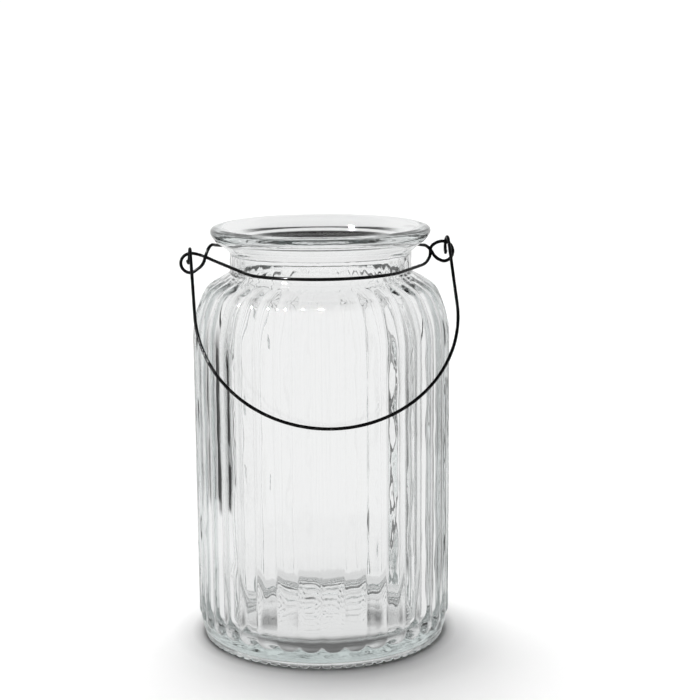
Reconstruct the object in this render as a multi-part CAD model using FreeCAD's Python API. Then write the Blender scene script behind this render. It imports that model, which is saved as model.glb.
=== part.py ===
"""Ribbed glass jar lantern with a wire collar and a swinging wire bail.

Frame: millimetres, +Z up, origin at the centre of the foot's resting plane. +Y points to the
back, so the bail hangs over the front (-Y), and the two eyes of the collar are at -X and +X.

The object is three pieces:
  glass_jar    one-piece pressed glass: foot, reeded body, shoulder, neck and flared rim
  neck_wire    one length of wire round the neck, with an eye at each side and twisted ends
  bail_handle  one length of wire, a U-shaped bow with a rolled hook at each end
"""
import FreeCAD
import Part

import math
import os

V = FreeCAD.Vector
ORIGIN = V(0, 0, 0)
UP = V(0, 0, 1)
FRONT = V(0, -1, 0)

# ---------------------------------------------------------------- driving dimensions (mm)
BODY_CREST_R = 60.0        # outside radius over the reeds
REED_RELIEF = 1.4          # how far a reed stands out of the plain glass between the reeds
REED_COUNT = 36
REED_PHASE = 0.6           # degrees from the front to the middle of a reed
REED_FILL = 0.95           # a reed's width as a share of its pitch
REED_START_Z = 8.2         # lowest point of the rounded lower ends
REED_TOP_RUN = 6.2         # how far a reed runs up the straight slope of the shoulder
REED_TOP_END = 4.2         # length of its fading end there
REED_EDGE = 0.12           # a reed's edges lie this deep in the plain glass
REED_ROOT = 0.9            # and its root this much deeper
WALL = 3.0                 # glass between the plain surface and the cavity
JAR_HEIGHT = 195.4

FOOT_R = 57.3              # outside of the foot ring
FOOT_HEIGHT = 3.2
FOOT_BLEND = 3.2           # height of the curve from the foot out to the plain glass
REST_INNER_R = 50.5        # the flat ring that the jar stands on
REST_OUTER_R = 56.3
KNURL_COUNT = 72           # small notches round the lower edge of the foot
KNURL_RADIUS = 0.95
PUSH_UP = 2.6              # height of the hollow under the base
FLOOR_Z = 7.2              # inside floor
FLOOR_FILLET = 11.0

SHOULDER_START_Z = 143.0
SHOULDER_R1 = 50.0         # easy curve at the top of the body, on the crest line
SHOULDER_TURN1 = 25.0      # degrees that it turns
SHOULDER_R2 = 12.0         # tighter curve onto the sloping shoulder
SHOULDER_TURN2 = 52.0      # total turn in degrees where the straight slope begins

NECK_R = 42.3
NECK_ROOT_R = 43.5         # where the shoulder's slope curves up into the neck
NECK_BORE_R = 38.9
BORE_START_Z = 173.4       # lower end of the straight bore
BORE_BLEND_Z = 170.1       # where the cavity's slope starts to curve into the bore
FLARE_START_Z = 183.8      # where the rim starts to flare out of the neck
THROAT_Z = 187.6           # where the bore starts to open into the rim
FLARE_END_R = 47.0         # the flare's straight underside ends here, level with the throat
LIP_R = 50.9               # where the rounded lip begins
LIP_Z = 192.0
RIM_R = 51.1
CROWN_R = 47.4             # the highest line of the rim

WIRE_R = 0.75              # 1.5 mm annealed wire
GAP = 0.3                  # air between a wire and the glass

COLLAR_R = NECK_R + WIRE_R + GAP
COLLAR_FRONT_Z = 176.2     # the front half rests at the root of the neck
COLLAR_BACK_Z = 182.9      # the back half is caught under the flare
CROSSING = 0.9             # half the distance between the two wires where an eye closes
LEFT_EYE = V(-60.5, 0, 178.6)
LEFT_EYE_R = 4.4
RIGHT_EYE = V(57.4, 0, 182.2)
RIGHT_EYE_R = 4.7
TWIST_LAY_R = 0.86         # the two ends wind round each other at this radius
TWIST_PITCH = 5.6
TWIST_TURNS = 1.5
TWIST_START = 1.6          # from the collar's circle back to the first turn of the twist

HINGE_LEFT = V(-60.2, 0.35, 183.0)   # where each hook hangs on the top bar of its eye
HINGE_RIGHT = V(59.7, 0.35, 186.2)
BOW_R = 59.7               # the bow is half a circle on two straight legs
BOW_SHIFT = 0.9            # the bow sits a little to the right of its hooks
BAIL_DROP_Z = 112.6        # height of the bow's lowest point at rest
LEG_START = 5.5            # the straight of each leg starts this far below the hinge
HOOK_R_LEFT = 3.3
HOOK_R_RIGHT = 3.7
MEAN_HOOK_R = (HOOK_R_LEFT + HOOK_R_RIGHT) / 2
HOOK_LIFT_LEFT = 2.1       # from the hinge line to the hook's inner turn
HOOK_LIFT_RIGHT = 2.6
HOOK_TURN = 318.0          # degrees of wire in a hook
HOOK_PITCH = 1.7           # sideways step of the hook's end past its own leg


# ---------------------------------------------------------------- small helpers
def polar(radius, degrees, z=0.0):
    """A point at that angle from the front (-Y), positive towards +X."""
    a = math.radians(degrees)
    return V(radius * math.sin(a), -radius * math.cos(a), z)


def arc_to(points, end, middle):
    """An arc from the last point through middle to end."""
    edge = Part.Arc(points[-1], middle, end).toShape()
    points.append(end)
    return edge


def rounded_path(corners):
    """A wire of straight runs joined by tangent arcs, each as large as its two runs allow."""
    share = 0.499
    tiny = 1e-4
    edges = []
    here = corners[0]
    for before, corner, after in zip(corners, corners[1:], corners[2:]):
        back = (before - corner).normalize()
        ahead = (after - corner).normalize()
        turn = math.pi - back.getAngle(ahead)
        if turn < tiny:
            continue
        reach = share * min((before - corner).Length, (after - corner).Length)
        start = corner + back * reach
        end = corner + ahead * reach
        radius = reach / math.tan(turn / 2)
        to_centre = (back + ahead).normalize()
        centre = corner + to_centre * (reach / math.sin(turn / 2))
        middle = centre - to_centre * radius
        if (start - here).Length > tiny:
            edges.append(Part.LineSegment(here, start).toShape())
        edges.append(Part.Arc(start, middle, end).toShape())
        here = end
    edges.append(Part.LineSegment(here, corners[-1]).toShape())
    return Part.Wire(edges)


def round_wire(corners):
    """Solid wire of WIRE_R along the rounded path."""
    path = rounded_path(corners)
    circle = Part.makeCircle(WIRE_R, corners[0], corners[1] - corners[0])
    solid = path.makePipeShell([Part.Wire(circle)], True, True)
    wanted = math.pi * WIRE_R ** 2 * path.Length
    print(f"wire {path.Length:.1f} mm, volume over section times length {solid.Volume / wanted:.4f}")
    return solid


# ---------------------------------------------------------------- glass jar
def outwards(degrees):
    """The direction square to the outline where it has turned that far, in the XZ plane."""
    a = math.radians(degrees)
    return V(math.cos(a), 0, math.sin(a))


def shoulder_centres():
    """Centres of the shoulder's easy curve and of its tight curve."""
    first = V(BODY_CREST_R - SHOULDER_R1, 0, SHOULDER_START_Z)
    second = first + outwards(SHOULDER_TURN1) * (SHOULDER_R1 - SHOULDER_R2)
    return first, second


def shoulder(offset):
    """Points of the shoulder's outline, offset inwards from the crest line: the start, middle and
    end of the easy curve, and the middle and end of the tight curve."""
    first, second = shoulder_centres()
    easy_r = SHOULDER_R1 - offset
    tight_r = SHOULDER_R2 - offset
    return [
        first + outwards(0) * easy_r,
        first + outwards(SHOULDER_TURN1 / 2) * easy_r,
        first + outwards(SHOULDER_TURN1) * easy_r,
        second + outwards((SHOULDER_TURN1 + SHOULDER_TURN2) / 2) * tight_r,
        second + outwards(SHOULDER_TURN2) * tight_r,
    ]


def slope_at(radius, offset):
    """Height of the straight slope of the shoulder at a radius."""
    end = shoulder(offset)[-1]
    return end.z + (end.x - radius) / math.tan(math.radians(SHOULDER_TURN2))


def core_profile():
    """Half section of the jar without its reeds, closed on the axis."""
    plain_r = BODY_CREST_R - REED_RELIEF
    cavity_r = plain_r - WALL
    s = shoulder(REED_RELIEF)
    root_z = slope_at(NECK_ROOT_R, REED_RELIEF)
    p = [V(0, 0, PUSH_UP)]
    edges = []

    def line(x, z):
        end = V(x, 0, z)
        edges.append(Part.LineSegment(p[-1], end).toShape())
        p.append(end)

    def arc(mx, mz, x, z):
        edges.append(arc_to(p, V(x, 0, z), V(mx, 0, mz)))

    # underside and foot
    arc(REST_INNER_R * 0.47, PUSH_UP * 0.93, REST_INNER_R - 3.0, PUSH_UP * 0.7)
    arc(REST_INNER_R - 1.0, 1.1, REST_INNER_R, 0)
    line(REST_OUTER_R, 0)
    arc(FOOT_R - 0.3, 0.3, FOOT_R, 1.0)
    line(FOOT_R, FOOT_HEIGHT)
    line(FOOT_R + 0.7, FOOT_HEIGHT + 0.5)
    arc(plain_r - 0.2, FOOT_HEIGHT + 1.5, plain_r, FOOT_HEIGHT + FOOT_BLEND)
    # body and shoulder
    line(plain_r, s[0].z)
    arc(s[1].x, s[1].z, s[2].x, s[2].z)
    arc(s[3].x, s[3].z, s[4].x, s[4].z)
    line(NECK_ROOT_R, root_z)
    arc(NECK_R + 0.28, root_z + 0.85, NECK_R, root_z + 2.1)
    # neck and flared rim
    line(NECK_R, FLARE_START_Z - 0.4)
    arc(NECK_R + 0.25, FLARE_START_Z + 0.05, NECK_R + 0.8, FLARE_START_Z + 0.6)
    line(FLARE_END_R, THROAT_Z)
    arc(LIP_R - 1.2, LIP_Z - 2.1, LIP_R, LIP_Z)
    arc(RIM_R - 0.1, LIP_Z + 1.7, CROWN_R + 1.9, JAR_HEIGHT - 0.5)
    arc(CROWN_R + 0.9, JAR_HEIGHT - 0.12, CROWN_R, JAR_HEIGHT)
    arc(NECK_BORE_R + 3.3, JAR_HEIGHT - 2.4, NECK_BORE_R + 0.8, THROAT_Z + 1.6)
    arc(NECK_BORE_R + 0.2, THROAT_Z + 0.85, NECK_BORE_R, THROAT_Z)
    # cavity
    inner = shoulder(REED_RELIEF + WALL)
    line(NECK_BORE_R, BORE_START_Z)
    arc(NECK_BORE_R + 0.5, BORE_BLEND_Z + 1.5, NECK_BORE_R + 1.9, BORE_BLEND_Z)
    line(inner[4].x, inner[4].z)
    arc(inner[3].x, inner[3].z, inner[2].x, inner[2].z)
    arc(inner[1].x, inner[1].z, inner[0].x, inner[0].z)
    line(cavity_r, FLOOR_Z + FLOOR_FILLET)
    dip = FLOOR_FILLET * (1 - math.sqrt(0.5))
    arc(cavity_r - dip, FLOOR_Z + dip, cavity_r - FLOOR_FILLET, FLOOR_Z)
    line(0, FLOOR_Z)
    line(0, PUSH_UP)
    return Part.Face(Part.Wire(edges))


def reed_section(at, out, half, relief):
    """One round-topped section of a reed, rooted in the plain glass."""
    side = V(0, 1, 0)
    left = at - side * half - out * REED_EDGE
    right = at + side * half - out * REED_EDGE
    low_right = right - out * REED_ROOT
    low_left = left - out * REED_ROOT
    return Part.Wire([
        Part.Arc(left, at + out * relief, right).toShape(),
        Part.LineSegment(right, low_right).toShape(),
        Part.LineSegment(low_right, low_left).toShape(),
        Part.LineSegment(low_left, left).toShape(),
    ])


def end_share(share):
    """How wide and how proud a reed is at a share of the length of its rounded end."""
    return math.sqrt(1 - (1 - share) ** 2), 1 - (1 - share) ** 2


def reed_stretches():
    """One convex reed: a rounded lower end, a straight body and a curved, fading top."""
    half = math.radians(180.0 / REED_COUNT) * REED_FILL
    plain_r = BODY_CREST_R - REED_RELIEF
    body_half = plain_r * math.sin(half)
    out = V(1, 0, 0)

    bottom = []
    for share in (0.08, 0.3, 0.6, 1.0):
        wide, proud = end_share(share)
        at = V(plain_r, 0, REED_START_Z + body_half * share)
        bottom.append(reed_section(at, out, body_half * wide, REED_RELIEF * proud))
    straight = Part.Face(bottom[-1]).extrude(V(0, 0, SHOULDER_START_Z - REED_START_Z - body_half))

    top = []

    def add(at, direction, wide=1.0, proud=1.0):
        relief = REED_RELIEF * (at.x / plain_r) ** 2 * proud
        top.append(reed_section(at, direction, at.x * math.sin(half) * wide, relief))

    first, second = shoulder_centres()
    for turn in (0.0, 0.5, 1.0):
        out = outwards(SHOULDER_TURN1 * turn)
        add(first + out * (SHOULDER_R1 - REED_RELIEF), out)
    for turn in (0.5, 1.0):
        out = outwards(SHOULDER_TURN1 + (SHOULDER_TURN2 - SHOULDER_TURN1) * turn)
        add(second + out * (SHOULDER_R2 - REED_RELIEF), out)
    end = second + out * (SHOULDER_R2 - REED_RELIEF)
    uphill = V(-out.z, 0, out.x)
    for share in (1.0, 0.6, 0.2):
        wide, proud = end_share(share)
        step = REED_TOP_RUN - REED_TOP_END * share
        add(end + uphill * step, out, wide, proud)
    return bottom, straight, top


def reed_solid():
    """The reed's three stretches as one solid."""
    bottom, straight, top = reed_stretches()
    low = Part.makeLoft(bottom, True, True)
    high = Part.makeLoft(top, True, True)
    return low.fuse([straight, high]).removeSplitter()


def knurls():
    """Round-bottomed radial notches that leave teeth round the foot's lower edge."""
    axis_z = 0.15
    length = 4.0
    cutters = []
    for k in range(KNURL_COUNT):
        angle = 360.0 * (k + 0.5) / KNURL_COUNT
        start = polar(REST_OUTER_R - 0.5, angle, axis_z)
        outward = polar(1.0, angle)
        cutters.append(Part.makeCylinder(KNURL_RADIUS, length, start, outward))
    return Part.makeCompound(cutters)


def glass_jar():
    core = core_profile().revolve(ORIGIN, UP, 360)
    one = reed_solid()
    reeds = []
    for k in range(REED_COUNT):
        copy = one.copy()
        copy.rotate(ORIGIN, UP, REED_PHASE - 90 + 360.0 * k / REED_COUNT)
        reeds.append(copy)
    jar = core.multiFuse(reeds)
    return jar.cut(knurls())


# ---------------------------------------------------------------- neck wire
def ring_corners(radius, start, end, z, steps):
    """Corners whose rounded path is an arc about the jar's axis, between two angles."""
    step = (end - start) / steps
    reach = radius / math.cos(math.radians(step / 2))
    return [polar(reach, start + step * (k + 0.5), z) for k in range(steps)]


def eye_corners(centre, radius, start, end, steps, y_start, y_end):
    """Corners whose rounded path is a loop in the XZ plane; angles run from +X towards +Z."""
    step = (end - start) / steps
    reach = radius / math.cos(math.radians(step / 2))
    corners = []
    for k in range(steps):
        angle = math.radians(start + step * (k + 0.5))
        y = y_start + (y_end - y_start) * (k + 0.5) / steps
        corners.append(centre + V(reach * math.cos(angle), y, reach * math.sin(angle)))
    return corners


def twist_corners(side):
    """One of the two strands that close the collar at the back, from the neck outwards."""
    per_turn = 6
    start = V(0, COLLAR_R + TWIST_START, COLLAR_BACK_Z)
    reach = TWIST_LAY_R / math.cos(math.pi / per_turn)
    first = 0.0 if side > 0 else math.pi
    corners = []
    for k in range(int(TWIST_TURNS * per_turn) + 1):
        angle = first + 2 * math.pi * (k + 0.5) / per_turn
        y = TWIST_PITCH * (k + 0.5) / per_turn
        corners.append(start + V(reach * math.cos(angle), y, reach * math.sin(angle)))
    return corners


def neck_wire():
    """The collar, as bends in the order of its length: from the twist at the back round the left
    side to the left eye, along the front, then the right eye and back to the twist."""
    left = [
        *reversed(twist_corners(-1)),
        V(-0.9, COLLAR_R + 0.4, COLLAR_BACK_Z),
        *ring_corners(COLLAR_R, -176, -124, COLLAR_BACK_Z, 4),
        V(-46.0, 11.6, 185.0),
        V(-51.2, 1.2, 187.0),
        V(-53.4, -CROSSING, 182.2),
        V(-54.6, -CROSSING, 177.7),
        *eye_corners(LEFT_EYE, LEFT_EYE_R, -62, -298, 5, -0.8, 0.5),
        V(-55.0, CROSSING, 182.0),
        V(-50.2, -4.4, 180.4),
    ]
    front = ring_corners(COLLAR_R, -56, 56, COLLAR_FRONT_Z, 8)
    right = [
        V(48.6, -6.6, 177.4),
        V(51.6, 0.4, 180.4),
        V(51.4, CROSSING, 184.2),
        *eye_corners(RIGHT_EYE, RIGHT_EYE_R, 142, -104, 5, 0.7, -0.6),
        V(53.6, -CROSSING, 179.4),
        V(51.4, -CROSSING, 183.4),
        V(49.6, 1.6, 184.9),
        V(45.4, 11.2, 184.3),
        *ring_corners(COLLAR_R, 124, 176, COLLAR_BACK_Z, 4),
        V(0.9, COLLAR_R + 0.4, COLLAR_BACK_Z),
        *twist_corners(1),
    ]
    return round_wire(left + front + right)


# ---------------------------------------------------------------- bail handle
def bail_frame():
    """The bail at rest: the middle of its hinge line, its directions along that line, down its
    legs and forwards, its length from the hinge, and how far it leans on the jar's front."""
    along = (HINGE_RIGHT - HINGE_LEFT).normalize()
    middle = (HINGE_LEFT + HINGE_RIGHT) * 0.5
    plumb = along.cross(FRONT)
    reach_y = middle.y + BODY_CREST_R + WIRE_R + GAP
    drop = middle.z - BAIL_DROP_Z
    lean = math.atan2(reach_y, drop)
    for _ in range(8):
        lean = math.atan2(reach_y - MEAN_HOOK_R * math.cos(lean), drop + MEAN_HOOK_R * math.sin(lean))
    length = (reach_y - MEAN_HOOK_R * math.cos(lean)) / math.sin(lean)
    down = plumb * math.cos(lean) + FRONT * math.sin(lean)
    forward = FRONT * math.cos(lean) - plumb * math.sin(lean)
    return middle, along, down, forward, length, lean


def hook_corners(hinge, hook_r, lift, along, down, forward):
    """A rolled hook, from its leg to its free end, that hangs on an eye of the collar."""
    steps = 6
    step = HOOK_TURN / steps
    centre = hinge + down * (hook_r - lift)
    reach = hook_r / math.cos(math.radians(step / 2))
    corners = []
    for k in range(steps):
        angle = math.radians(step * (k + 0.5))
        corners.append(
            centre
            + forward * (reach * math.cos(angle))
            - down * (reach * math.sin(angle))
            - along * (HOOK_PITCH * (k + 0.5) / steps)
        )
    return corners


def bail_handle():
    middle, along, down, forward, length, lean = bail_frame()
    print(f"bail leans {math.degrees(lean):.2f} degrees, reaches {length:.2f} mm from its hinge")
    bow = middle + forward * MEAN_HOOK_R + down * (length - BOW_R) + along * BOW_SHIFT
    steps = 9
    step = math.pi / steps
    reach = BOW_R / math.cos(step / 2)
    arch = []
    for k in range(steps):
        angle = step * (k + 0.5)
        arch.append(bow - along * (reach * math.cos(angle)) + down * (reach * math.sin(angle)))
    left = hook_corners(HINGE_LEFT, HOOK_R_LEFT, HOOK_LIFT_LEFT, along, down, forward)
    right = hook_corners(HINGE_RIGHT, HOOK_R_RIGHT, HOOK_LIFT_RIGHT, along, down, forward)
    leg_left = HINGE_LEFT + forward * HOOK_R_LEFT + down * LEG_START
    leg_right = HINGE_RIGHT + forward * HOOK_R_RIGHT + down * LEG_START
    return round_wire([*reversed(left), leg_left, *arch, leg_right, *right])


# ---------------------------------------------------------------- write the parts
def main():
    os.makedirs("parts", exist_ok=True)
    for name, make in (
        ("glass_jar", glass_jar),
        ("neck_wire", neck_wire),
        ("bail_handle", bail_handle),
    ):
        shape = make()
        box = shape.BoundBox
        print(
            f"{name}: {shape.ShapeType} valid {shape.isValid()}, {len(shape.Solids)} solid(s), "
            f"{shape.Volume:.0f} mm3, x {box.XMin:.1f}..{box.XMax:.1f}, "
            f"y {box.YMin:.1f}..{box.YMax:.1f}, z {box.ZMin:.1f}..{box.ZMax:.1f}"
        )
        shape.exportStep(f"parts/{name}.step")


main()
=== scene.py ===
"""Looks of the ribbed glass jar lantern: clear pressed glass, a dark wire collar and a wire bail.

The shapes below are worked out in millimetres, in the frame of the CAD model, and turned into
metres as each mesh is made. The jar and both wires are fine meshes that stand for their CAD nodes.
"""
import math

import bpy
import numpy as np
from mathutils import Matrix, Vector


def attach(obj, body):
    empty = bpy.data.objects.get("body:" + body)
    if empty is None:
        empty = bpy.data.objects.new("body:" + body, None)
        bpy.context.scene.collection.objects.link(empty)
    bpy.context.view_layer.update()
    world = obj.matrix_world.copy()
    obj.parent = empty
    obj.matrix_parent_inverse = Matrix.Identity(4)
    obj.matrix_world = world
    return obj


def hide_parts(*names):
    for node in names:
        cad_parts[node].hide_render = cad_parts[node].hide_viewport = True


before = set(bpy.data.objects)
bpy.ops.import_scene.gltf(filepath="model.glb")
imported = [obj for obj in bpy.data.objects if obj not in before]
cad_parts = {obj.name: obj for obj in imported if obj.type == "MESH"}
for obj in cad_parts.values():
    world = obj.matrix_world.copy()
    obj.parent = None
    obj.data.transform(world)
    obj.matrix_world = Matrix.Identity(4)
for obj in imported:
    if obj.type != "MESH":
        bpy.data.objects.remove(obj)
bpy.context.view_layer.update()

MM = 0.001
FRONT = Vector((0, -1, 0))

# ------------------------------------------------------------------ driving dimensions (mm)
BODY_CREST_R = 60.0        # outside radius over the reeds
REED_RELIEF = 1.4          # how far a reed stands out of the plain glass between the reeds
REED_COUNT = 36
REED_PHASE = 0.6           # degrees from the front (-Y) to the middle of a reed
REED_START_Z = 8.2         # lowest point of the rounded lower ends
REED_END_POWER = 1.8       # how bluntly the reeds end there
REED_TOP_RUN = 6.8         # how far a reed runs up the straight slope of the shoulder
REED_TOP_END = 7.5         # length of its fading end there
REED_EDGE = 0.05           # softness of the line where a reed meets the plain glass
FLUTE_DEPTH = 0.46         # how far the inside follows a reed
FLUTE_END_Z = 164.0        # where that ends, and the height over which it fades
FLUTE_FADE = 20.0
WALL = 3.0                 # glass between the plain surface and the cavity
JAR_HEIGHT = 195.4
COLUMNS_PER_REED = 20      # columns of the mesh

FOOT_R = 57.3              # outside of the foot ring
FOOT_HEIGHT = 3.2
FOOT_BLEND = 3.2           # height of the curve from the foot out to the plain glass
REST_INNER_R = 50.5        # the flat ring that the jar stands on
REST_OUTER_R = 56.3
KNURL_COUNT = 72           # small notches round the lower edge of the foot
KNURL_HALF_WIDTH = 1.05
KNURL_HEIGHT = 1.15
PUSH_UP = 2.6              # height of the hollow under the base
FLOOR_Z = 7.2              # inside floor
FLOOR_MIDDLE_R = 2.0       # the floor's rows of faces end in a fan inside this radius
FLOOR_FILLET = 11.0

SHOULDER_START_Z = 143.0
SHOULDER_R1 = 50.0         # easy curve at the top of the body, on the crest line
SHOULDER_TURN1 = 25.0      # degrees that it turns
SHOULDER_R2 = 12.0         # tighter curve onto the sloping shoulder
SHOULDER_TURN2 = 52.0      # total turn in degrees where the straight slope begins

NECK_R = 42.3
NECK_ROOT_R = 43.5         # where the shoulder's slope curves up into the neck
NECK_BORE_R = 38.9
BORE_START_Z = 173.4       # lower end of the straight bore
BORE_BLEND_Z = 170.1       # where the cavity's slope starts to curve into the bore
FLARE_START_Z = 183.8      # where the rim starts to flare out of the neck
THROAT_Z = 187.6           # where the bore starts to open into the rim
FLARE_END_R = 47.0         # the flare's straight underside ends here, level with the throat
LIP_R = 50.9               # where the rounded lip begins
LIP_Z = 192.0
RIM_R = 51.1
CROWN_R = 47.4             # the highest line of the rim

# Unevenness of the glass: depths in mm, seeds, and waves as (number round the jar, length in mm).
OUTSIDE_RIPPLE = 0.035
OUTSIDE_SEED = 3
INSIDE_RIPPLE = 0.16
INSIDE_SEED = 8
INSIDE_STREAKS = 0.05
STREAK_SEED = 21
RIPPLE_WAVES = ((2, 90.0), (3, 61.0), (5, 37.0), (9, 24.0), (14, 15.0), (23, 11.0))
STREAK_WAVES = ((31, 47.0), (43, 33.0), (58, 26.0))
FLOOR_RINGS = 0.035
FLOOR_DIMPLES = 0.10

WIRE_R = 0.75              # 1.5 mm annealed wire
WIRE_SIDES = 16
WIRE_CHAMFER = 0.22        # on the cut ends
WIRE_SWELLS = ((0.015, 4.1), (0.01, 1.7))   # share of the thickness, mm of wire to a radian
GAP = 0.3                  # air between a wire and the glass
COLLAR_SEED = 5
BAIL_SEED = 11

COLLAR_R = NECK_R + WIRE_R + GAP
COLLAR_FRONT_Z = 176.2     # the front half rests at the root of the neck
COLLAR_BACK_Z = 182.9      # the back half is caught under the flare
CROSSING = 0.9             # half the distance between the two wires where an eye closes
LEFT_EYE = Vector((-60.5, 0, 178.6))
LEFT_EYE_R = 4.4
RIGHT_EYE = Vector((57.4, 0, 182.2))
RIGHT_EYE_R = 4.7
TWIST_LAY_R = 0.86         # the two ends wind round each other at this radius
TWIST_PITCH = 5.6
TWIST_TURNS = 1.5
TWIST_START = 1.6          # from the collar's circle back to the first turn of the twist

HINGE_LEFT = Vector((-60.2, 0.35, 183.0))   # where each hook hangs on the top bar of its eye
HINGE_RIGHT = Vector((59.7, 0.35, 186.2))
BOW_R = 59.7               # the bow is half a circle on two straight legs
BOW_SHIFT = 0.9            # the bow sits a little to the right of its hooks
BAIL_DROP_Z = 112.6        # height of the bow's lowest point at rest
LEG_START = 5.5            # the straight of each leg starts this far below the hinge
HOOK_R_LEFT = 3.3
HOOK_R_RIGHT = 3.7
MEAN_HOOK_R = (HOOK_R_LEFT + HOOK_R_RIGHT) / 2
HOOK_LIFT_LEFT = 2.1       # from the hinge line to the hook's inner turn
HOOK_LIFT_RIGHT = 2.6
HOOK_TURN = 318.0          # degrees of wire in a hook
HOOK_PITCH = 1.7           # sideways step of the hook's end past its own leg


# ------------------------------------------------------------------ outlines
class Outline:
    """A half section, drawn as lines and arcs through points of (radius, height). The number of
    steps of each is the number of rows that it gets in the mesh."""

    def __init__(self, start):
        self.points = [np.array(start, float)]

    def line(self, radius, height, steps=1):
        start = self.points[-1]
        end = np.array((radius, height), float)
        self.points += [start + (end - start) * (k + 1) / steps for k in range(steps)]

    def arc(self, middle, end, steps):
        """An arc from the last point through middle to end."""
        start = self.points[-1]
        a, b, c = start, np.array(middle, float), np.array(end, float)
        system = np.array([b - a, c - a])
        right = np.array([(b @ b - a @ a) / 2, (c @ c - a @ a) / 2])
        centre = np.linalg.solve(system, right)
        first, mid, last = (math.atan2(*(q - centre)[::-1]) for q in (a, b, c))
        turn = (last - first) % (2 * math.pi)
        if (mid - first) % (2 * math.pi) > turn:
            turn -= 2 * math.pi
        radius = np.linalg.norm(a - centre)
        for k in range(1, steps + 1):
            angle = first + turn * k / steps
            self.points.append(centre + radius * np.array((math.cos(angle), math.sin(angle))))

    def mark(self):
        """The number of the last point, to name a stretch of the outline."""
        return len(self.points) - 1


def shoulder(offset):
    """Points of the shoulder's outline, offset inwards from the reeds' crest: the start, middle
    and end of the easy curve, and the middle and end of the tight curve."""
    turn1 = math.radians(SHOULDER_TURN1)
    turn2 = math.radians(SHOULDER_TURN2)
    first = np.array((BODY_CREST_R - SHOULDER_R1, SHOULDER_START_Z))
    second = first + (SHOULDER_R1 - SHOULDER_R2) * np.array((math.cos(turn1), math.sin(turn1)))

    def on(centre, radius, angle):
        return centre + (radius - offset) * np.array((math.cos(angle), math.sin(angle)))

    return [
        on(first, SHOULDER_R1, 0),
        on(first, SHOULDER_R1, turn1 / 2),
        on(first, SHOULDER_R1, turn1),
        on(second, SHOULDER_R2, (turn1 + turn2) / 2),
        on(second, SHOULDER_R2, turn2),
    ]


def jar_outline():
    """The jar's closed half section without reeds, and the numbers of its marked points."""
    plain_r = BODY_CREST_R - REED_RELIEF
    s = shoulder(REED_RELIEF)
    slope = math.tan(math.radians(SHOULDER_TURN2))
    root_z = s[4][1] + (s[4][0] - NECK_ROOT_R) / slope
    o = Outline((0.0, PUSH_UP))
    marks = {}
    # underside and foot
    o.arc((REST_INNER_R * 0.47, PUSH_UP * 0.93), (REST_INNER_R - 3.0, PUSH_UP * 0.7), steps=14)
    o.arc((REST_INNER_R - 1.0, 1.1), (REST_INNER_R, 0), steps=6)
    o.line(REST_OUTER_R, 0, steps=5)
    marks["notch_start"] = o.mark() - 1    # one row before the flat ring's edge
    o.arc((FOOT_R - 0.3, 0.3), (FOOT_R, 1.0), steps=5)
    o.line(FOOT_R, FOOT_HEIGHT, steps=4)
    marks["foot_end"] = o.mark()
    o.line(FOOT_R + 0.7, FOOT_HEIGHT + 0.5, steps=2)
    o.arc((plain_r - 0.2, FOOT_HEIGHT + 1.5), (plain_r, FOOT_HEIGHT + FOOT_BLEND), steps=6)
    o.line(plain_r, REED_START_Z, steps=2)
    marks["reed_start"] = o.mark()
    # body and shoulder
    o.line(plain_r, REED_START_Z + 6.0, steps=18)
    o.line(plain_r, s[0][1], steps=44)
    o.arc(s[1], s[2], steps=16)
    o.arc(s[3], s[4], steps=14)
    marks["slope_start"] = o.mark()
    o.line(NECK_ROOT_R, root_z, steps=22)
    o.arc((NECK_R + 0.28, root_z + 0.85), (NECK_R, root_z + 2.1), steps=6)
    marks["body_end"] = o.mark()
    # neck and flared rim
    o.line(NECK_R, FLARE_START_Z - 0.4, steps=4)
    o.arc((NECK_R + 0.25, FLARE_START_Z + 0.05), (NECK_R + 0.8, FLARE_START_Z + 0.6), steps=5)
    o.line(FLARE_END_R, THROAT_Z, steps=6)
    o.arc((LIP_R - 1.2, LIP_Z - 2.1), (LIP_R, LIP_Z), steps=8)
    o.arc((RIM_R - 0.1, LIP_Z + 1.7), (CROWN_R + 1.9, JAR_HEIGHT - 0.5), steps=10)
    o.arc((CROWN_R + 0.9, JAR_HEIGHT - 0.12), (CROWN_R, JAR_HEIGHT), steps=5)
    o.arc((NECK_BORE_R + 3.3, JAR_HEIGHT - 2.4), (NECK_BORE_R + 0.8, THROAT_Z + 1.6), steps=12)
    o.arc((NECK_BORE_R + 0.2, THROAT_Z + 0.85), (NECK_BORE_R, THROAT_Z), steps=5)
    marks["ripple_start"] = o.mark() + 3   # a few rows down the bore
    # cavity
    inner = shoulder(REED_RELIEF + WALL)
    cavity_r = plain_r - WALL
    dip = FLOOR_FILLET * (1 - math.sqrt(0.5))
    o.line(NECK_BORE_R, BORE_START_Z, steps=8)
    o.arc((NECK_BORE_R + 0.5, BORE_BLEND_Z + 1.5), (NECK_BORE_R + 1.9, BORE_BLEND_Z), steps=6)
    o.line(*inner[4], steps=8)
    o.arc(inner[3], inner[2], steps=8)
    o.arc(inner[1], inner[0], steps=8)
    o.line(cavity_r, FLOOR_Z + FLOOR_FILLET, steps=42)
    o.arc((cavity_r - dip, FLOOR_Z + dip), (cavity_r - FLOOR_FILLET, FLOOR_Z), steps=14)
    marks["floor_start"] = o.mark()
    o.line(FLOOR_MIDDLE_R, FLOOR_Z, steps=48)
    o.line(0.0, FLOOR_Z)
    return np.array(o.points), marks


# ------------------------------------------------------------------ meshes
def mesh_object(name, vertices, faces):
    """A smooth-shaded object from points in millimetres."""
    data = bpy.data.meshes.new(name)
    data.from_pydata([tuple(v) for v in np.asarray(vertices) * MM], [], faces)
    data.validate()
    data.shade_smooth()
    piece = bpy.data.objects.new(name, data)
    bpy.context.scene.collection.objects.link(piece)
    return piece


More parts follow.
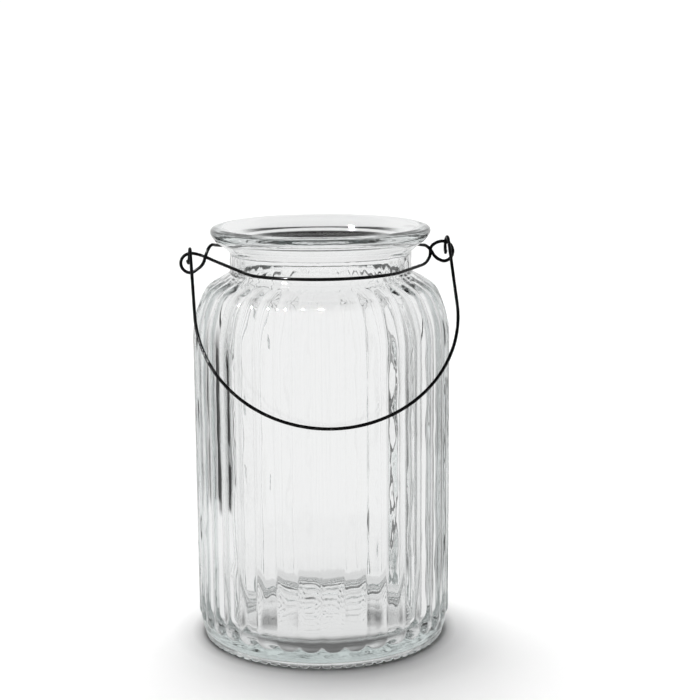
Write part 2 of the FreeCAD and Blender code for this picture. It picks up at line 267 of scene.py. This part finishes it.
def ripple(angle, height, seed):
    """Slow unevenness of hand-run pressed glass, between about -1 and 1, closed round the jar."""
    half_strength = 7      # waves round the jar at which a wave is half as strong
    span = 2.2
    total = np.zeros(np.broadcast(angle, height).shape)
    random = np.random.default_rng(seed)
    for waves, length in RIPPLE_WAVES:
        phase_a, phase_z = random.uniform(0, 2 * math.pi, 2)
        strength = random.uniform(0.6, 1.0) / (1 + waves / half_strength)
        up = np.sin(height * 2 * math.pi / length + phase_z)
        total += strength * np.sin(waves * angle + phase_a) * up
    return total / span


def streaks(angle, height, seed):
    """Long narrow waves that wander up the inside, as the plunger leaves them."""
    sway = 0.9             # radians
    beat_length = 9.0      # mm of height to a radian
    total = np.zeros(np.broadcast(angle, height).shape)
    random = np.random.default_rng(seed)
    for waves, length in STREAK_WAVES:
        phase, drift, beat = random.uniform(0, 2 * math.pi, 3)
        wander = sway * np.sin(height * 2 * math.pi / length + drift)
        strength = 0.6 + 0.4 * np.sin(height / beat_length + 3 * angle + beat)
        total += np.sin(waves * angle + phase + wander) * strength
    return total / 2


def settling(angle, radius):
    """Shallow rings and dimples on the inside floor, where the glass settled."""
    middle_fade = 12.0
    edge_fade = 16.0
    ring_length = 1.15     # mm of radius to a radian
    dimple_length = 2.9
    dimple_twist = 4.0
    fade = np.clip(radius / middle_fade, 0, 1) * np.clip((BODY_CREST_R - radius) / edge_fade, 0, 1)
    sway = 0.8 * np.sin(3 * angle) + 0.5 * np.sin(7 * angle + 1.0)
    rings = np.sin(radius / ring_length + sway)
    spokes = np.sin(9 * angle + radius / dimple_twist)
    dimples = spokes * np.sin(radius / dimple_length + 2.0 * np.sin(4 * angle))
    return fade * (FLOOR_RINGS * rings + FLOOR_DIMPLES * dimples)


def flutes(angle, height):
    """How far the inside follows the reeds, as it does in a moulded jar, between floor and neck."""
    wave = 0.5 + 0.5 * np.cos(REED_COUNT * (angle - math.radians(REED_PHASE)))
    rise = np.clip((height - FLOOR_Z) / FLOOR_FILLET, 0, 1)
    fall = np.clip((FLUTE_END_Z - height) / FLUTE_FADE, 0, 1)
    return FLUTE_DEPTH * wave * np.sqrt(rise) * np.sqrt(fall)


def reed_height(angle, radius, along, run):
    """How far the reeds stand out at an angle round the jar and a length along the outline. No
    two reeds stand out quite the same."""
    pitch = 2 * math.pi / REED_COUNT
    number = np.round((angle - math.radians(REED_PHASE)) / pitch)
    offset = angle - math.radians(REED_PHASE) - number * pitch
    half = radius * math.sin(pitch / 2)
    across = radius * np.sin(offset) / half
    lower = np.clip(1 - along / half, 0, None) ** REED_END_POWER
    upper = np.clip((along - (run - REED_TOP_END)) / REED_TOP_END, 0, None)
    varied = 1 + 0.05 * np.sin(number * 2.4 + 0.7) + 0.03 * np.sin(number * 5.1)
    relief = REED_RELIEF * (radius / (BODY_CREST_R - REED_RELIEF)) ** 2
    height = relief * (1 - across ** 2 - lower ** 2 - upper ** 2) * varied
    return (height + np.sqrt(height ** 2 + REED_EDGE ** 2)) / 2 - REED_EDGE / 2


def notches(angle):
    """Height of the notches in the foot's lower edge, by the angle round the jar."""
    pitch = 2 * math.pi / KNURL_COUNT
    offset = FOOT_R * np.abs((angle + pitch / 2) % pitch - pitch / 2)
    return KNURL_HEIGHT * np.sqrt(np.clip(1 - (offset / KNURL_HALF_WIDTH) ** 2, 0, None))


def glass_jar():
    """The whole jar as one closed surface of revolution with reeds, notches and slight ripples."""
    outline, marks = jar_outline()
    rows = outline[1:-1]
    number = np.arange(1, len(outline) - 1)
    radius = rows[:, 0][:, None]
    height = rows[:, 1][:, None]
    columns = REED_COUNT * COLUMNS_PER_REED
    angle = np.arange(columns) * 2 * math.pi / columns
    round_jar = angle[None]

    tangent = np.gradient(outline, axis=0)[1:-1]
    tangent /= np.linalg.norm(tangent, axis=1)[:, None]
    normal = np.stack([tangent[:, 1], -tangent[:, 0]], 1)
    steps = np.linalg.norm(np.diff(outline, axis=0), axis=1)
    length = np.concatenate([[0], np.cumsum(steps)])
    start = length[marks["reed_start"]]
    run = length[marks["slope_start"]] - start + REED_TOP_RUN
    along = (length[1:-1] - start)[:, None]

    shift = np.zeros((len(rows), columns))
    reeded = (number >= marks["reed_start"]) & (number < marks["body_end"])
    shift[reeded] += reed_height(round_jar, radius, along, run)[reeded]
    shift[reeded] += OUTSIDE_RIPPLE * ripple(round_jar, height, OUTSIDE_SEED)[reeded]
    pool = (number >= marks["floor_start"]) & (number < number[-1])
    shift[pool] += settling(round_jar, radius)[pool]
    inside = (number >= marks["ripple_start"]) & (number < marks["floor_start"])
    shift[inside] -= flutes(round_jar, height)[inside]
    shift[inside] += INSIDE_RIPPLE * ripple(round_jar, height, INSIDE_SEED)[inside]
    shift[inside] += INSIDE_STREAKS * streaks(round_jar, height, STREAK_SEED)[inside]

    r = radius + shift * normal[:, 0][:, None]
    z = height + shift * normal[:, 1][:, None]
    edge = (number >= marks["notch_start"]) & (number <= marks["foot_end"])
    z[edge] = np.maximum(z[edge], notches(round_jar))
    x = r * np.sin(round_jar)
    y = -r * np.cos(round_jar)

    grid = np.stack([x, y, z], 2).reshape(-1, 3)
    vertices = np.vstack([grid, [[0, 0, PUSH_UP]], [[0, 0, FLOOR_Z]]])
    base, floor_middle = len(grid), len(grid) + 1
    faces = []
    last = (len(rows) - 1) * columns
    for k in range(columns):
        after = (k + 1) % columns
        faces.append((base, after, k))
        faces.append((floor_middle, last + k, last + after))
        for row in range(0, last, columns):
            faces.append((row + k, row + after, row + columns + after, row + columns + k))
    return mesh_object("jar_of_pressed_glass", vertices, faces)


# ------------------------------------------------------------------ wire routes
def polar(radius, degrees, z=0.0):
    """A point at that angle from the front, positive towards +X."""
    a = math.radians(degrees)
    return Vector((radius * math.sin(a), -radius * math.cos(a), z))


def rounded_route(corners):
    """Points along straight runs joined by tangent arcs, each as large as its runs allow."""
    share = 0.499          # of a run, taken by the arc at each of its ends
    spacing = 0.7          # mm between points, or closer where an arc turns faster
    finest_turn = math.radians(7)
    least_turn = 1e-4      # radians; a corner that turns less has no arc
    least_gap = 0.05       # mm; a point that is nearer than this is left out
    points = [corners[0]]
    for before, corner, after in zip(corners, corners[1:], corners[2:]):
        back = (before - corner).normalized()
        ahead = (after - corner).normalized()
        turn = math.pi - back.angle(ahead)
        if turn < least_turn:
            continue
        reach = share * min((before - corner).length, (after - corner).length)
        radius = reach / math.tan(turn / 2)
        to_centre = (back + ahead).normalized()
        centre = corner + to_centre * (reach / math.sin(turn / 2))
        start = corner + back * reach
        axis = (start - centre).cross(corner + ahead * reach - centre).normalized()
        steps = max(2, math.ceil(max(radius * turn / spacing, turn / finest_turn)))
        for k in range(steps + 1):
            arm = (start - centre).copy()
            arm.rotate(Matrix.Rotation(turn * k / steps, 3, axis))
            points.append(centre + arm)
    points.append(corners[-1])

    even = [points[0]]
    for point in points[1:]:
        gap = (point - even[-1]).length
        if gap < least_gap:
            continue
        for left in range(math.ceil(gap / (2 * spacing)), 1, -1):
            even.append(even[-1].lerp(point, 1 / left))
        even.append(point)
    return even


def wire_piece(name, corners, seed):
    """Round wire along the route, with a trace of hand-bent unevenness and chamfered ends."""
    route = rounded_route(corners)
    tangents = []
    for before, after in zip([route[0], *route], [*route[1:], route[-1]]):
        tangents.append((after - before).normalized())
    side = tangents[0].orthogonal().normalized()
    phases = np.random.default_rng(seed).uniform(0, 2 * math.pi, len(WIRE_SWELLS))
    rings = []
    length = 0.0
    last_point = route[0]
    for point, tangent in zip(route, tangents):
        side = (side - tangent * side.dot(tangent)).normalized()
        length += (point - last_point).length
        last_point = point
        swell = 1.0
        for (share, radian), phase in zip(WIRE_SWELLS, phases):
            swell += share * math.sin(length / radian + phase)
        rings.append((point, side.copy(), tangent.cross(side), WIRE_R * swell))

    start, end = rings[0], rings[-1]
    rings[0] = (start[0] + tangents[0] * WIRE_CHAMFER, *start[1:])
    rings[-1] = (end[0] - tangents[-1] * WIRE_CHAMFER, *end[1:])
    rings.insert(0, (*start[:3], start[3] - WIRE_CHAMFER))
    rings.append((*end[:3], end[3] - WIRE_CHAMFER))

    vertices = []
    for point, one, two, radius in rings:
        for k in range(WIRE_SIDES):
            a = 2 * math.pi * k / WIRE_SIDES
            vertices.append(point + one * (radius * math.cos(a)) + two * (radius * math.sin(a)))
    last = (len(rings) - 1) * WIRE_SIDES
    faces = []
    for row in range(0, last, WIRE_SIDES):
        above = row + WIRE_SIDES
        for k in range(WIRE_SIDES):
            after = (k + 1) % WIRE_SIDES
            faces.append((row + k, row + after, above + after, above + k))
    faces.append(tuple(reversed(range(WIRE_SIDES))))
    faces.append(tuple(last + k for k in range(WIRE_SIDES)))
    return mesh_object(name, [tuple(v) for v in vertices], faces)


def ring_corners(radius, start, end, z, steps):
    """Corners whose rounded route is an arc about the jar's axis."""
    step = (end - start) / steps
    reach = radius / math.cos(math.radians(step / 2))
    return [polar(reach, start + step * (k + 0.5), z) for k in range(steps)]


def eye_corners(centre, radius, start, end, y_start, y_end):
    """Corners whose rounded route is a loop in the XZ plane; angles run from +X towards +Z."""
    steps = 5
    step = (end - start) / steps
    reach = radius / math.cos(math.radians(step / 2))
    corners = []
    for k in range(steps):
        angle = math.radians(start + step * (k + 0.5))
        y = y_start + (y_end - y_start) * (k + 0.5) / steps
        corners.append(centre + Vector((reach * math.cos(angle), y, reach * math.sin(angle))))
    return corners


def twist_corners(side):
    """One of the two strands that close the collar at the back, from the neck outwards."""
    per_turn = 6
    start = Vector((0, COLLAR_R + TWIST_START, COLLAR_BACK_Z))
    reach = TWIST_LAY_R / math.cos(math.pi / per_turn)
    first = 0.0 if side > 0 else math.pi
    corners = []
    for k in range(int(TWIST_TURNS * per_turn) + 1):
        angle = first + 2 * math.pi * (k + 0.5) / per_turn
        y = TWIST_PITCH * (k + 0.5) / per_turn
        corners.append(start + Vector((reach * math.cos(angle), y, reach * math.sin(angle))))
    return corners


def neck_wire_corners():
    """The collar: round the neck from the twist at the back, with an eye at each side."""
    return [
        *reversed(twist_corners(-1)),
        Vector((-0.9, COLLAR_R + 0.4, COLLAR_BACK_Z)),
        *ring_corners(COLLAR_R, -176, -124, COLLAR_BACK_Z, 4),
        # out to the left eye, round it, and back past itself
        Vector((-46.0, 11.6, 185.0)),
        Vector((-51.2, 1.2, 187.0)),
        Vector((-53.4, -CROSSING, 182.2)),
        Vector((-54.6, -CROSSING, 177.7)),
        *eye_corners(LEFT_EYE, LEFT_EYE_R, -62, -298, -0.8, 0.5),
        Vector((-55.0, CROSSING, 182.0)),
        Vector((-50.2, -4.4, 180.4)),
        # the front half of the neck
        *ring_corners(COLLAR_R, -56, 56, COLLAR_FRONT_Z, 8),
        # the same at the right eye
        Vector((48.6, -6.6, 177.4)),
        Vector((51.6, 0.4, 180.4)),
        Vector((51.4, CROSSING, 184.2)),
        *eye_corners(RIGHT_EYE, RIGHT_EYE_R, 142, -104, 0.7, -0.6),
        Vector((53.6, -CROSSING, 179.4)),
        Vector((51.4, -CROSSING, 183.4)),
        Vector((49.6, 1.6, 184.9)),
        Vector((45.4, 11.2, 184.3)),
        # the rest of the back
        *ring_corners(COLLAR_R, 124, 176, COLLAR_BACK_Z, 4),
        Vector((0.9, COLLAR_R + 0.4, COLLAR_BACK_Z)),
        *twist_corners(1),
    ]


def bail_corners():
    """The bail at rest: two rolled hooks, two legs and a half-round bow in one plane."""
    along = (HINGE_RIGHT - HINGE_LEFT).normalized()
    middle = (HINGE_LEFT + HINGE_RIGHT) / 2
    plumb = Vector((0, 1, 0)).cross(along)
    plumb = plumb if plumb.z < 0 else -plumb
    reach_y = middle.y + BODY_CREST_R + WIRE_R + GAP
    drop = middle.z - BAIL_DROP_Z
    # the hooks' radius carries the bow forward, so the lean is found in a few rounds
    lean = math.atan2(reach_y, drop)
    for _ in range(8):
        ahead = reach_y - MEAN_HOOK_R * math.cos(lean)
        lean = math.atan2(ahead, drop + MEAN_HOOK_R * math.sin(lean))
    length = (reach_y - MEAN_HOOK_R * math.cos(lean)) / math.sin(lean)
    down = plumb * math.cos(lean) + FRONT * math.sin(lean)
    forward = FRONT * math.cos(lean) - plumb * math.sin(lean)

    def hook(hinge, hook_r, lift):
        steps = 6
        step = HOOK_TURN / steps
        centre = hinge + down * (hook_r - lift)
        reach = hook_r / math.cos(math.radians(step / 2))
        corners = []
        for k in range(steps):
            angle = math.radians(step * (k + 0.5))
            corners.append(
                centre
                + forward * (reach * math.cos(angle))
                - down * (reach * math.sin(angle))
                - along * (HOOK_PITCH * (k + 0.5) / steps)
            )
        return corners

    bow = middle + forward * MEAN_HOOK_R + down * (length - BOW_R) + along * BOW_SHIFT
    steps = 9
    step = math.pi / steps
    reach = BOW_R / math.cos(step / 2)
    arch = []
    for k in range(steps):
        angle = step * (k + 0.5)
        arch.append(bow - along * (reach * math.cos(angle)) + down * (reach * math.sin(angle)))
    left = hook(HINGE_LEFT, HOOK_R_LEFT, HOOK_LIFT_LEFT)
    right = hook(HINGE_RIGHT, HOOK_R_RIGHT, HOOK_LIFT_RIGHT)
    leg_left = HINGE_LEFT + forward * HOOK_R_LEFT + down * LEG_START
    leg_right = HINGE_RIGHT + forward * HOOK_R_RIGHT + down * LEG_START
    return [*reversed(left), leg_left, *arch, leg_right, *right]


# ------------------------------------------------------------------ materials
def new_material(name):
    material = bpy.data.materials.new(name)
    material.use_nodes = True
    nodes = material.node_tree.nodes
    return material, nodes, material.node_tree.links, nodes["Principled BSDF"]


def noise(nodes, links, vector, scale, detail):
    """A noise texture over the object's own coordinates; its cells to the metre and its detail."""
    texture = nodes.new("ShaderNodeTexNoise")
    texture.inputs["Scale"].default_value = scale
    texture.inputs["Detail"].default_value = detail
    links.new(vector, texture.inputs["Vector"])
    return texture.outputs["Fac"]


def bump(nodes, links, height, shader, strength, distance):
    """Fine relief on the shader; its depth in millimetres."""
    relief = nodes.new("ShaderNodeBump")
    relief.inputs["Strength"].default_value = strength
    relief.inputs["Distance"].default_value = distance * MM
    links.new(height, relief.inputs["Height"])
    links.new(relief.outputs["Normal"], shader.inputs["Normal"])


def glass_material():
    """Clear soda-lime glass with a faint green-grey body colour and a lightly uneven surface."""
    material, nodes, links, shader = new_material("clear_pressed_glass")
    shader.inputs["Base Color"].default_value = (1.0, 1.0, 1.0, 1.0)
    shader.inputs["Roughness"].default_value = 0.0
    shader.inputs["IOR"].default_value = 1.52
    shader.inputs["Transmission Weight"].default_value = 1.0

    place = nodes.new("ShaderNodeTexCoord")
    stretch = nodes.new("ShaderNodeMapping")
    stretch.inputs["Scale"].default_value = (1.0, 1.0, 0.35)
    links.new(place.outputs["Object"], stretch.inputs["Vector"])
    skin = noise(nodes, links, stretch.outputs["Vector"], scale=230.0, detail=2.0)
    bump(nodes, links, skin, shader, strength=0.2, distance=0.12)

    tint = nodes.new("ShaderNodeVolumeAbsorption")
    tint.inputs["Color"].default_value = (0.63, 0.71, 0.70, 1.0)
    tint.inputs["Density"].default_value = 11.0
    links.new(tint.outputs["Volume"], nodes["Material Output"].inputs["Volume"])
    return material


def iron_material():
    """Dark annealed iron wire: blue-black oxide, rubbed a little brighter in places."""
    material, nodes, links, shader = new_material("dark_annealed_iron")
    shader.inputs["Metallic"].default_value = 1.0
    shader.inputs["Coat Weight"].default_value = 0.08
    shader.inputs["Coat Roughness"].default_value = 0.12
    place = nodes.new("ShaderNodeTexCoord")

    patches = noise(nodes, links, place.outputs["Object"], scale=420.0, detail=6.0)
    colour = nodes.new("ShaderNodeValToRGB")
    oxide, bright = colour.color_ramp.elements
    oxide.position = 0.35
    oxide.color = (0.001, 0.001, 0.0015, 1.0)
    bright.position = 0.80
    bright.color = (0.10, 0.10, 0.10, 1.0)
    rubbed = colour.color_ramp.elements.new(0.60)
    rubbed.color = (0.006, 0.006, 0.006, 1.0)
    links.new(patches, colour.inputs["Fac"])
    links.new(colour.outputs["Color"], shader.inputs["Base Color"])

    gloss = nodes.new("ShaderNodeMapRange")
    gloss.inputs["From Min"].default_value = 0.3
    gloss.inputs["From Max"].default_value = 0.7
    gloss.inputs["To Min"].default_value = 0.30
    gloss.inputs["To Max"].default_value = 0.14
    links.new(patches, gloss.inputs["Value"])
    links.new(gloss.outputs["Result"], shader.inputs["Roughness"])

    grain = noise(nodes, links, place.outputs["Object"], scale=2600.0, detail=4.0)
    bump(nodes, links, grain, shader, strength=0.25, distance=0.05)
    return material


# ------------------------------------------------------------------ studio
# Lengths in mm and angles in degrees. Azimuths of lamps and cards run from the back (+Y),
# positive towards +X.
CAMERA_AZIMUTH = -4.4      # the collar stands a little turned to the camera
CAMERA_DISTANCE = 781.6
CAMERA_SIDE = 13.4
CAMERA_HEIGHT = 285.3
CAMERA_PITCH = 10.8
CAMERA_ROLL = -0.39
CAMERA_LENS = 86.9

WORLD_SEEN = 1.05          # brightness of the white surroundings, as the camera sees them
WORLD_IN_GLASS = 0.90      # as the glass and the wires see them
WORLD_OVERHEAD = 0.03      # as they see it overhead
OVERHEAD_START = 36.0      # height above the horizon where it starts to darken
OVERHEAD_END = 60.0
WORLD_FILL = 0.10          # and as a light on the paper

PAPER_TONE_AND_PAINTED_SHADOW = [             # reflectance of the paper, by the distance from the axis: a painted contact shadow round the foot, then its own pale tone
    (0.0, 0.34),
    (57.0, 0.34),
    (59.5, 0.64),
    (64.0, 0.84),
    (73.0, 0.93),
    (90.0, 0.97),
]
PAPER_PAINTED_GLOW = [         # and the painted glow that the glass sees in its place, with a painted shadow round the foot
    (0.0, 0.72),
    (50.0, 0.68),
    (55.0, 0.54),
    (57.5, 0.48),
    (60.0, 0.66),
    (72.0, 0.84),
    (200.0, 0.90),
]
# Painted shade: the paper's glow is made darker under the front of the jar.
SHADE = 0.82               # how much darker the glass sees the paper under the jar's front,
SHADE_OUTER_R = FOOT_R + 2.5   # growing inwards between these radii
SHADE_INNER_R = FOOT_R - 3.5
SHADE_START_Y = -33.0      # and forwards between these places
SHADE_END_Y = -46.0
# Painted shade: two dark spots in the paper's glow under the jar, which only the glass shows.
SHADE_SPOT_SIDE = 33.0         # two darker places under the jar, left and right of its middle,
SHADE_SPOT_SQUEEZE = 0.6       # longer from front to back than across,
SHADE_SPOT_LEVELS = [                 # and what is left of the brightness, by the distance from them
    (0.0, 0.03),
    (4.0, 0.10),
    (10.0, 0.66),
    (14.0, 1.0),
]

FLAG_TOP = 185.0           # height of the upright cards
FLAG_FADE_IN = 9.0         # they are dark between these heights
FLAG_FADE_OUT = 95.0
FLAG_END_SHADE = 0.86      # and pale at their ends
FLAGS = [                  # name, distance from the axis, shade, and azimuths of the sides
    ("left", 270, 0.0, ((-90, -68), (-62, -55), (-50, -43), (-40, -33))),
    ("right", 100, 0.05, ((89, 95), (66, 80), (55, 61), (45, 51), (35, 41))),
]


def camera():
    data = bpy.data.cameras.new("camera")
    data.lens = CAMERA_LENS
    data.sensor_width = 36.0
    data.clip_start = 0.01
    piece = bpy.data.objects.new("camera", data)
    turn = Matrix.Rotation(math.radians(CAMERA_AZIMUTH), 4, "Z")
    place = turn @ Vector((CAMERA_SIDE, -CAMERA_DISTANCE, CAMERA_HEIGHT)) * MM
    pitch = Matrix.Rotation(math.radians(90 - CAMERA_PITCH), 4, "X")
    roll = Matrix.Rotation(math.radians(CAMERA_ROLL), 4, "Z")
    piece.matrix_world = Matrix.Translation(place) @ turn @ pitch @ roll
    bpy.context.scene.collection.objects.link(piece)
    bpy.context.scene.camera = piece


def mapped(nodes, links, value, start, end, low=0.0, high=1.0):
    """The value's share of the way from start to end, as a number from low to high."""
    node = nodes.new("ShaderNodeMapRange")
    node.inputs["From Min"].default_value = start
    node.inputs["From Max"].default_value = end
    node.inputs["To Min"].default_value = low
    node.inputs["To Max"].default_value = high
    links.new(value, node.inputs["Value"])
    return node.outputs["Result"]


def ramp(nodes, links, distance, levels):
    """Grey levels by distance, given as (millimetres, brightness)."""
    reach = levels[-1][0]
    level = nodes.new("ShaderNodeValToRGB")
    stops = level.color_ramp.elements
    while len(stops) < len(levels):
        stops.new(1.0)
    for stop, (place, shade) in zip(stops, levels):
        stop.position = place / reach
        stop.color = (shade, shade, shade, 1.0)
    links.new(mapped(nodes, links, distance, 0.0, reach * MM), level.inputs["Fac"])
    return level.outputs["Color"]


def scaled(nodes, links, colour, factor):
    """The colour times a number."""
    product = nodes.new("ShaderNodeVectorMath")
    product.operation = "SCALE"
    links.new(colour, product.inputs[0])
    links.new(factor, product.inputs["Scale"])
    return product.outputs["Vector"]


def combined(nodes, links, operation, one, two):
    """The sum or product of two numbers."""
    node = nodes.new("ShaderNodeMath")
    node.operation = operation
    links.new(one, node.inputs[0])
    links.new(two, node.inputs[1])
    return node.outputs["Value"]


def painted_shade_spots(nodes, links, place):
    """What the two spots of painted shade under the jar leave of the paper's painted glow."""
    mirrored = nodes.new("ShaderNodeVectorMath")
    mirrored.operation = "ABSOLUTE"
    links.new(place, mirrored.inputs[0])
    squeezed = nodes.new("ShaderNodeVectorMath")
    squeezed.operation = "MULTIPLY"
    squeezed.inputs[1].default_value = (1.0, SHADE_SPOT_SQUEEZE, 1.0)
    links.new(mirrored.outputs["Vector"], squeezed.inputs[0])
    reach = nodes.new("ShaderNodeVectorMath")
    reach.operation = "DISTANCE"
    reach.inputs[1].default_value = (SHADE_SPOT_SIDE * MM, 0.0, 0.0)
    links.new(squeezed.outputs["Vector"], reach.inputs[0])
    return ramp(nodes, links, reach.outputs["Value"], SHADE_SPOT_LEVELS)


def floor():
    """Pale paper. The camera sees it lit, over a painted contact shadow round the jar's foot; the
    glass and the wires see a painted glow in its place, with painted shade under the jar.
    """
    size = 4.0             # metres
    below = -0.0001
    data = bpy.data.meshes.new("floor")
    signs = ((-1, -1), (1, -1), (1, 1), (-1, 1))
    data.from_pydata([(size * x, size * y, below) for x, y in signs], [], [(0, 1, 2, 3)])
    piece = bpy.data.objects.new("floor", data)
    bpy.context.scene.collection.objects.link(piece)
    material, nodes, links, shader = new_material("pale_paper")
    shader.inputs["Roughness"].default_value = 0.9
    shader.inputs["Specular IOR Level"].default_value = 0.0
    path = nodes.new("ShaderNodeLightPath")
    by_camera = path.outputs["Is Camera Ray"]
    place = nodes.new("ShaderNodeTexCoord").outputs["Object"]
    axes = nodes.new("ShaderNodeSeparateXYZ")
    links.new(place, axes.inputs["Vector"])
    length = nodes.new("ShaderNodeVectorMath")
    length.operation = "LENGTH"
    links.new(place, length.inputs[0])
    radius = length.outputs["Value"]

    # the paper that the camera sees carries a painted contact shadow round the jar's foot
    seen = ramp(nodes, links, radius, PAPER_TONE_AND_PAINTED_SHADOW)
    links.new(scaled(nodes, links, seen, by_camera), shader.inputs["Base Color"])

    under = mapped(nodes, links, radius, SHADE_OUTER_R * MM, SHADE_INNER_R * MM)
    front = mapped(nodes, links, axes.outputs["Y"], SHADE_START_Y * MM, SHADE_END_Y * MM)
    both = combined(nodes, links, "MULTIPLY", under, front)
    kept = mapped(nodes, links, both, 0.0, 1.0, low=1.0, high=1.0 - SHADE)
    # painted light: the paper's glow as the glass sees it, darkened by painted shade under the
    # jar's front
    shaded = scaled(nodes, links, ramp(nodes, links, radius, PAPER_PAINTED_GLOW), kept)
    # the two spots of painted shade darken the glow left and right under the jar
    level = scaled(nodes, links, shaded, painted_shade_spots(nodes, links, place))
    links.new(level, shader.inputs["Emission Color"])

    lit = combined(nodes, links, "ADD", by_camera, path.outputs["Diffuse Depth"])
    glow = mapped(nodes, links, lit, 0.0, 1.0, low=1.0, high=0.0)
    links.new(glow, shader.inputs["Emission Strength"])
    data.materials.append(material)


def flag(name, start, end, distance, shade):
    """An upright curved card round the set that only the glass and the wires see, dark between
    its soft lower and upper ends. Its sides are at the azimuths start and end."""
    steps = 12
    corners = []
    for k in range(steps + 1):
        a = math.radians(start + (end - start) * k / steps)
        for height in (0.0, FLAG_TOP):
            corner = Vector((distance * math.sin(a), distance * math.cos(a), height))
            corners.append(corner * MM)
    faces = [(2 * k, 2 * k + 2, 2 * k + 3, 2 * k + 1) for k in range(steps)]
    data = bpy.data.meshes.new(name)
    data.from_pydata(corners, [], faces)
    piece = bpy.data.objects.new(name, data)
    bpy.context.scene.collection.objects.link(piece)

    material, nodes, links, shader = new_material(name)
    shader.inputs["Base Color"].default_value = (0.0, 0.0, 0.0, 1.0)
    shader.inputs["Specular IOR Level"].default_value = 0.0
    shader.inputs["Emission Strength"].default_value = 1.0
    place = nodes.new("ShaderNodeTexCoord")
    axes = nodes.new("ShaderNodeSeparateXYZ")
    links.new(place.outputs["Object"], axes.inputs["Vector"])
    levels = [
        (0.0, FLAG_END_SHADE),
        (FLAG_FADE_IN, shade),
        (FLAG_FADE_OUT, shade),
        (FLAG_TOP, FLAG_END_SHADE),
    ]
    links.new(ramp(nodes, links, axes.outputs["Z"], levels), shader.inputs["Emission Color"])
    data.materials.append(material)
    piece.visible_camera = False
    piece.visible_diffuse = False
    piece.visible_shadow = False


def surroundings():
    """White all round, and darker overhead for the glass and the wires. It lights the paper less
    than it shows, so that the lamp shapes the shadow."""
    world = bpy.data.worlds.new("studio")
    bpy.context.scene.world = world
    world.use_nodes = True
    nodes = world.node_tree.nodes
    links = world.node_tree.links
    path = nodes.new("ShaderNodeLightPath")
    place = nodes.new("ShaderNodeTexCoord")
    axes = nodes.new("ShaderNodeSeparateXYZ")
    links.new(place.outputs["Generated"], axes.inputs["Vector"])
    overhead = nodes.new("ShaderNodeMapRange")
    overhead.interpolation_type = "SMOOTHSTEP"
    overhead.inputs["From Min"].default_value = math.sin(math.radians(OVERHEAD_START))
    overhead.inputs["From Max"].default_value = math.sin(math.radians(OVERHEAD_END))
    overhead.inputs["To Min"].default_value = WORLD_IN_GLASS
    overhead.inputs["To Max"].default_value = WORLD_OVERHEAD
    links.new(axes.outputs["Z"], overhead.inputs["Value"])
    seen = nodes.new("ShaderNodeMapRange")
    seen.inputs["To Max"].default_value = WORLD_SEEN
    links.new(overhead.outputs["Result"], seen.inputs["To Min"])
    links.new(path.outputs["Is Camera Ray"], seen.inputs["Value"])
    level = nodes.new("ShaderNodeMapRange")
    level.inputs["To Max"].default_value = WORLD_FILL
    links.new(seen.outputs["Result"], level.inputs["To Min"])
    links.new(path.outputs["Diffuse Depth"], level.inputs["Value"])
    links.new(level.outputs["Result"], nodes["Background"].inputs["Strength"])
    nodes["Background"].inputs["Color"].default_value = (1.0, 1.0, 1.0, 1.0)


def lamp(name, azimuth, elevation, spread, strength):
    """A light from far away, which doesn't show through the glass."""
    data = bpy.data.lights.new(name, "SUN")
    data.angle = math.radians(spread)
    data.energy = strength
    piece = bpy.data.objects.new(name, data)
    a, e = math.radians(azimuth), math.radians(elevation)
    away = Vector((math.sin(a) * math.cos(e), math.cos(a) * math.cos(e), math.sin(e)))
    piece.rotation_euler = away.to_track_quat("Z", "Y").to_euler()
    piece.visible_transmission = False
    bpy.context.scene.collection.objects.link(piece)
    return piece


# ------------------------------------------------------------------ the model
def dress(piece, material, body, node):
    piece.data.materials.append(material)
    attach(piece, body)
    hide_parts(node)


jar = glass_jar()
collar_wire = wire_piece("collar_wire", neck_wire_corners(), COLLAR_SEED)
bail_wire = wire_piece("bail_wire", bail_corners(), BAIL_SEED)
iron = iron_material()
dress(jar, glass_material(), "jar", "glass_jar")
dress(collar_wire, iron, "collar", "neck_wire")
dress(bail_wire, iron, "bail", "bail_handle")

camera()
floor()
surroundings()
lamp("soft_lamp", azimuth=-10, elevation=74, spread=50, strength=3.4).visible_glossy = False
lamp("highlight_lamp", azimuth=-125, elevation=42, spread=6, strength=9.0).visible_diffuse = False
for side, distance, shade, widths in FLAGS:
    for k, (start, end) in enumerate(widths):
        flag(f"{side}_flag_{k}", start, end, distance, shade)

scene = bpy.context.scene
scene.view_settings.view_transform = "Standard"
scene.cycles.use_denoising = True
scene.cycles.max_bounces = 24
scene.cycles.transmission_bounces = 24
scene.cycles.glossy_bounces = 12
scene.cycles.diffuse_bounces = 4
